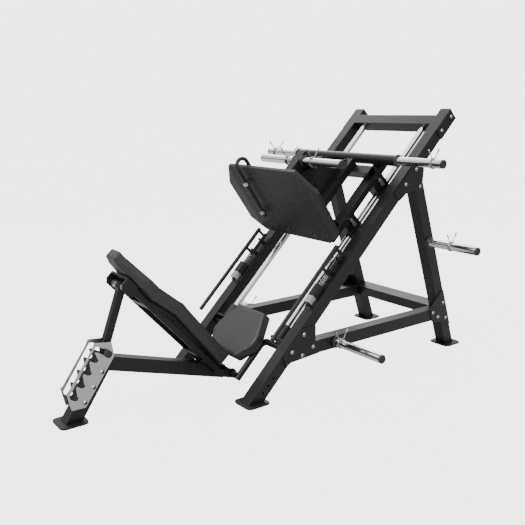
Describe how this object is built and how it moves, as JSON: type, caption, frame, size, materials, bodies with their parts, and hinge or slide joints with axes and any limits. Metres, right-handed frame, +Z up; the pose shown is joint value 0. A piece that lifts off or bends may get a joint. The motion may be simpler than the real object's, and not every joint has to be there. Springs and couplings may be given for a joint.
{
  "type": "leg press machine",
  "caption": "Plate-loaded incline leg press with an angled foot board carriage, padded seat, adjustable back and safety levers.",
  "frame": {"origin": "centre of the bounding box at floor level", "axes": "+Z up, +Y from the seat end to the tall rear legs, +X across the width"},
  "size_m": [1.547, 2.658, 1.5603],
  "materials": {
    "frame_paint": "satin black powder coat",
    "polished_rod": "polished",
    "clip_wire": "bright wire",
    "rubber": "matt",
    "upholstery": "black vinyl cover",
    "brushed_plate": "brushed",
    "bright_steel": "zinc plated",
    "black_plastic": "moulded",
    "board_paint": "dark grey with a fine raised tread",
    "rubber_grip": "matt sleeve"
  },
  "bodies": {
    "frame": {"bumpers": "rubber", "centre_beam": "frame_paint", "floor_plates": "frame_paint", "frame_bolts": "bright_steel", "front_leg": "frame_paint", "guide_rod_left": "polished_rod", "guide_rod_right": "polished_rod", "gussets_left": "frame_paint", "gussets_right": "frame_paint", "ladder_plate_left": "brushed_plate", "ladder_plate_right": "brushed_plate", "lever_lugs": "frame_paint", "lever_springs": "bright_steel", "lever_stops": "bright_steel", "rail_caps": "black_plastic", "rail_left": "frame_paint", "rail_right": "frame_paint", "rear_crossbeam": "frame_paint", "rear_leg_left": "frame_paint", "rear_leg_right": "frame_paint", "rod_brackets": "frame_paint", "seat_board": "frame_paint", "seat_cross_tube": "frame_paint", "seat_pad": "upholstery", "seat_tube_left": "frame_paint", "seat_tube_right": "frame_paint", "side_beam_left": "frame_paint", "side_beam_right": "frame_paint", "storage_clips": "clip_wire", "storage_ends": "frame_paint", "storage_sleeves": "polished_rod", "top_crossbeam": "frame_paint"},
    "carriage": {"carriage_beam_left": "frame_paint", "carriage_beam_right": "frame_paint", "bearings_left": "frame_paint", "bearings_right": "frame_paint", "carriage_bridges": "frame_paint", "push_arm_left": "frame_paint", "push_arm_right": "frame_paint", "crossbar": "frame_paint", "carriage_webs": "frame_paint", "horn_arm": "frame_paint", "load_sleeves": "polished_rod", "load_ends": "frame_paint", "load_clips": "clip_wire", "carriage_pegs": "frame_paint", "foot_board": "board_paint", "grip": "rubber_grip", "grip_collars": "bright_steel"},
    "lever_left": {"safety_lever_left": "frame_paint"},
    "lever_right": {"safety_lever_right": "frame_paint"},
    "backrest": {"back_pad": "upholstery", "back_board": "frame_paint", "back_arms": "frame_paint", "back_rungs": "frame_paint", "back_pivot_tube": "brushed_plate"},
    "strut": {"strut": "frame_paint", "strut_pin": "bright_steel", "strut_knob": "black_plastic"}
  },
  "joints": [
    {"name": "carriage_slide", "type": "slide", "parent": "frame", "child": "carriage", "axis": [0, 0.7071, 0.7071], "range_m": [-0.6, 0.38]},
    {"name": "lever_left_turn", "type": "hinge", "parent": "frame", "child": "lever_left", "pos_m": [-0.367, 0.12914, 0.61023], "axis": [0, -0.7071, -0.7071], "range_deg": [0, 60], "stiffness_Nm_per_rad": 4, "springref_deg": -28.65},
    {"name": "lever_right_turn", "type": "hinge", "parent": "frame", "child": "lever_right", "pos_m": [0.367, 0.12914, 0.61023], "axis": [0, 0.7071, 0.7071], "range_deg": [0, 60], "stiffness_Nm_per_rad": 4, "springref_deg": -28.65},
    {"name": "back_lift", "type": "hinge", "parent": "frame", "child": "backrest", "pos_m": [0, -0.32, 0.066], "axis": [1, 0, 0], "range_deg": [-10, 0]},
    {"name": "strut_turn", "type": "hinge", "parent": "backrest", "child": "strut", "pos_m": [0, -0.942, 0.665], "axis": [1, 0, 0], "range_deg": [0, 10]}
  ],
  "couplings": [
    {"joint": "strut_turn", "follows": "back_lift", "ratio": -1}
  ]
}
